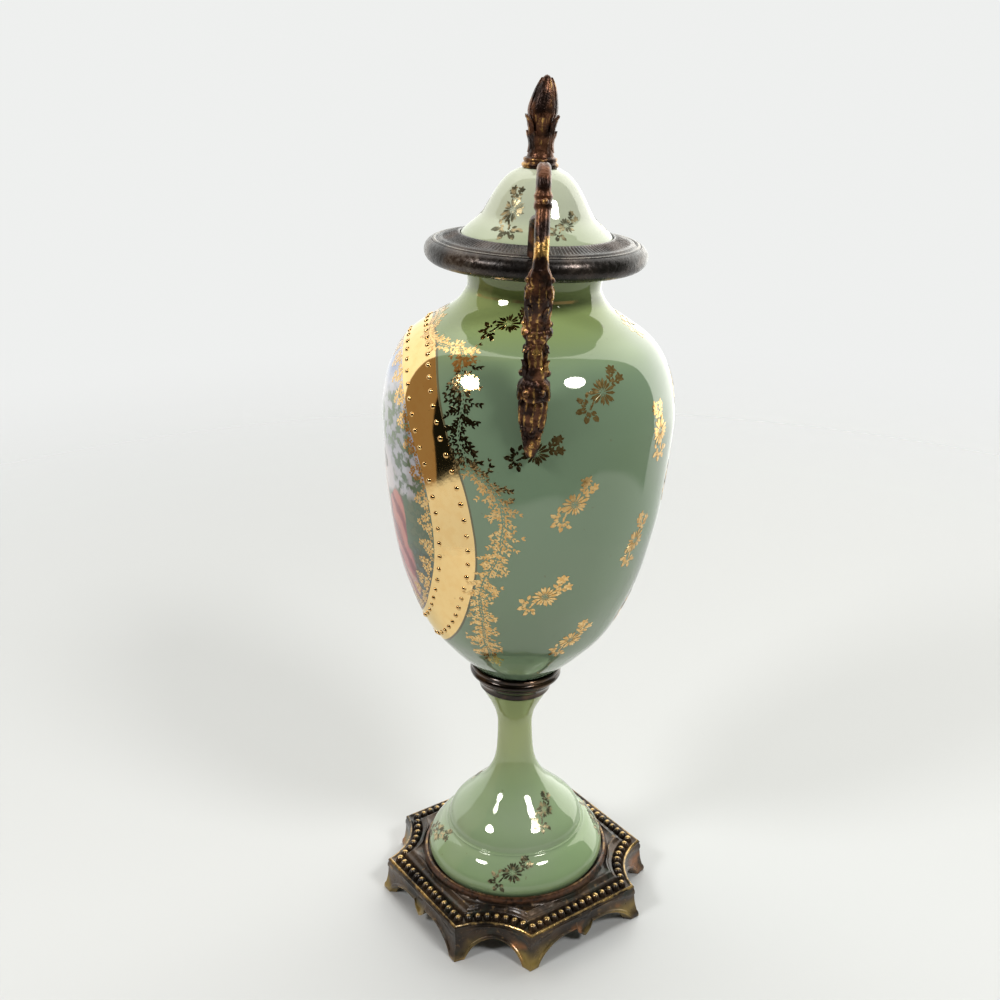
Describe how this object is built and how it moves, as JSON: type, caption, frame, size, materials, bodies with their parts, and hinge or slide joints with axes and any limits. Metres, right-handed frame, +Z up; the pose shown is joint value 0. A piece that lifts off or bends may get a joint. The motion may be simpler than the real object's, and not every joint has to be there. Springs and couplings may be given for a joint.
{
  "type": "mantel urn",
  "caption": "Lidded porcelain mantel urn on a square metal base, with scroll handles, a mouth ring, a collar and a bud finial in cast and turned metal.",
  "frame": {"origin": "on the ground under the middle of the base", "axes": "+Z up along the foot, the painted front faces -Y, the handles stand at +X and -X"},
  "size_m": [0.163, 0.1408, 0.4008],
  "materials": {
    "celadon_porcelain": "glazed porcelain in pale celadon lustre, with gilt sprigs and a painted front panel",
    "pale_porcelain": "glazed porcelain in the palest celadon lustre, with gilt sprigs",
    "dark_bronze": "patinated dark bronze, worn grey on its roll",
    "turned_bronze": "turned bronze, near black and glossy",
    "old_gilt": "cast brass with worn gilding, dark in its hollows",
    "cast_brass": "cast brass, dark brown with gold on beads and edges"
  },
  "bodies": {
    "root": {"base": "cast_brass", "foot": "celadon_porcelain", "collar": "turned_bronze", "body": "celadon_porcelain", "rim_ring": "dark_bronze", "lid": "pale_porcelain", "finial": "old_gilt", "handle_right": "old_gilt", "handle_left": "old_gilt"}
  },
  "joints": []
}
